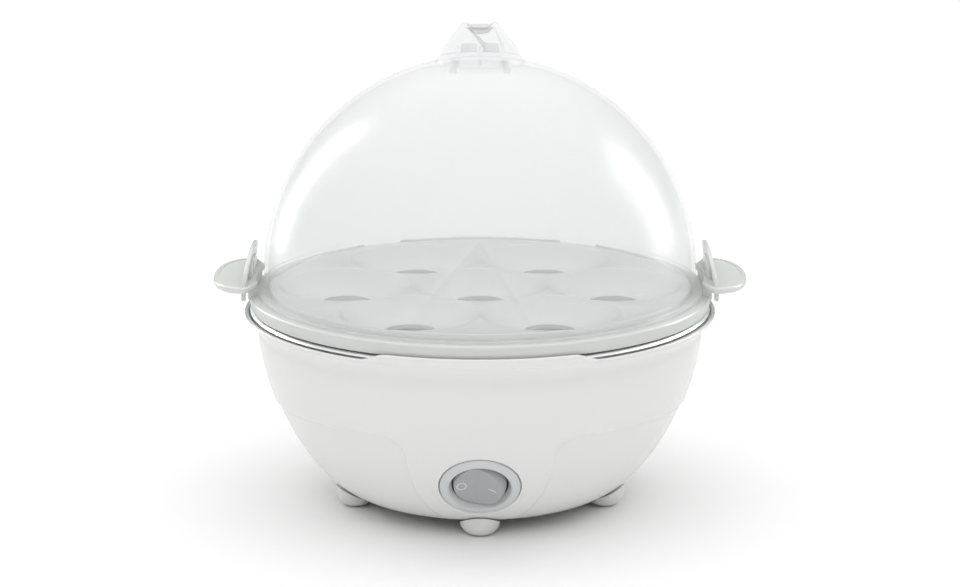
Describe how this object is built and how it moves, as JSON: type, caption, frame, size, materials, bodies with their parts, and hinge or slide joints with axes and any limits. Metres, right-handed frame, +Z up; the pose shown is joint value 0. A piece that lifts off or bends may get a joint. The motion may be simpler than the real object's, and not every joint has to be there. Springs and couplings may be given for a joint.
{
  "type": "egg cooker",
  "caption": "Round electric egg cooker with a white bowl base, steel water dish, rocker switch, lift-out egg tray with side handles and a clear dome lid.",
  "frame": {"origin": "on the table under the middle of the cooker", "axes": "+Z up, the switch faces -Y, the tray handles lie along X"},
  "size_m": [0.1906, 0.1686, 0.1723],
  "materials": {
    "white_plastic": "glossy moulded white",
    "pale_plastic": "fine matt",
    "milk_plastic": "milky translucent moulding",
    "clear_plastic": "clear polished moulding",
    "rocker_plastic": "satin mid grey",
    "bezel_plastic": "satin light grey",
    "dark_plastic": "matt black",
    "dark_rubber": "matt",
    "silicone": "matt silicone",
    "polished_steel": "polished stainless steel",
    "zinc_steel": "zinc plated",
    "cast_aluminium": "cast",
    "brass": "stamped",
    "ceramic": "glazed ceramic",
    "red_wire": "silicone insulation",
    "blue_wire": "silicone insulation",
    "green_wire": "silicone insulation"
  },
  "bodies": {
    "base": {"base_housing": "white_plastic", "bottom_cover": "pale_plastic", "cover_screw_1": "zinc_steel", "cover_screw_2": "zinc_steel", "cover_screw_3": "zinc_steel", "foot_1": "white_plastic", "foot_2": "white_plastic", "foot_3": "white_plastic", "foot_4": "white_plastic", "foot_5": "white_plastic", "heating_dish": "polished_steel", "dish_seal": "silicone", "heating_plate": "cast_aluminium", "heating_coil": "zinc_steel", "heat_shield": "zinc_steel", "thermostat": "ceramic", "thermal_fuse": "ceramic", "clamp_bar": "zinc_steel", "clamp_washer": "zinc_steel", "earth_tag": "brass", "clamp_nut": "zinc_steel", "cord_gland": "dark_rubber", "terminal_block": "ceramic", "wire_line": "red_wire", "wire_switched": "red_wire", "wire_element": "red_wire", "wire_neutral": "blue_wire", "wire_fuse": "blue_wire", "wire_earth": "green_wire", "switch_bezel": "bezel_plastic", "switch_barrel": "dark_plastic", "switch_terminal_common": "brass", "switch_terminal_load": "brass"},
    "rocker": {"rocker": "rocker_plastic", "rocker_spring": "zinc_steel"},
    "contact_arm": {"contact_arm": "brass"},
    "egg_tray": {"egg_tray": "milk_plastic"},
    "lid": {"dome_lid": "clear_plastic", "lid_handle": "clear_plastic"}
  },
  "joints": [
    {"name": "tray_lift", "type": "slide", "parent": "base", "child": "egg_tray", "axis": [0, 0, 1], "range_m": [0, 0.04]},
    {"name": "lid_lift", "type": "slide", "parent": "egg_tray", "child": "lid", "axis": [0, 0, 1], "range_m": [0, 0.07]},
    {"name": "rocker_tilt", "type": "hinge", "parent": "base", "child": "rocker", "pos_m": [0, -0.06244, 0.02425], "axis": [0, -0.537, 0.8436], "range_deg": [0, 22]},
    {"name": "contact_tilt", "type": "hinge", "parent": "base", "child": "contact_arm", "pos_m": [0, -0.05459, 0.02925], "axis": [0, -0.537, 0.8436], "range_deg": [-16, 0]}
  ],
  "couplings": [
    {"joint": "contact_tilt", "follows": "rocker_tilt", "ratio": -0.72}
  ]
}
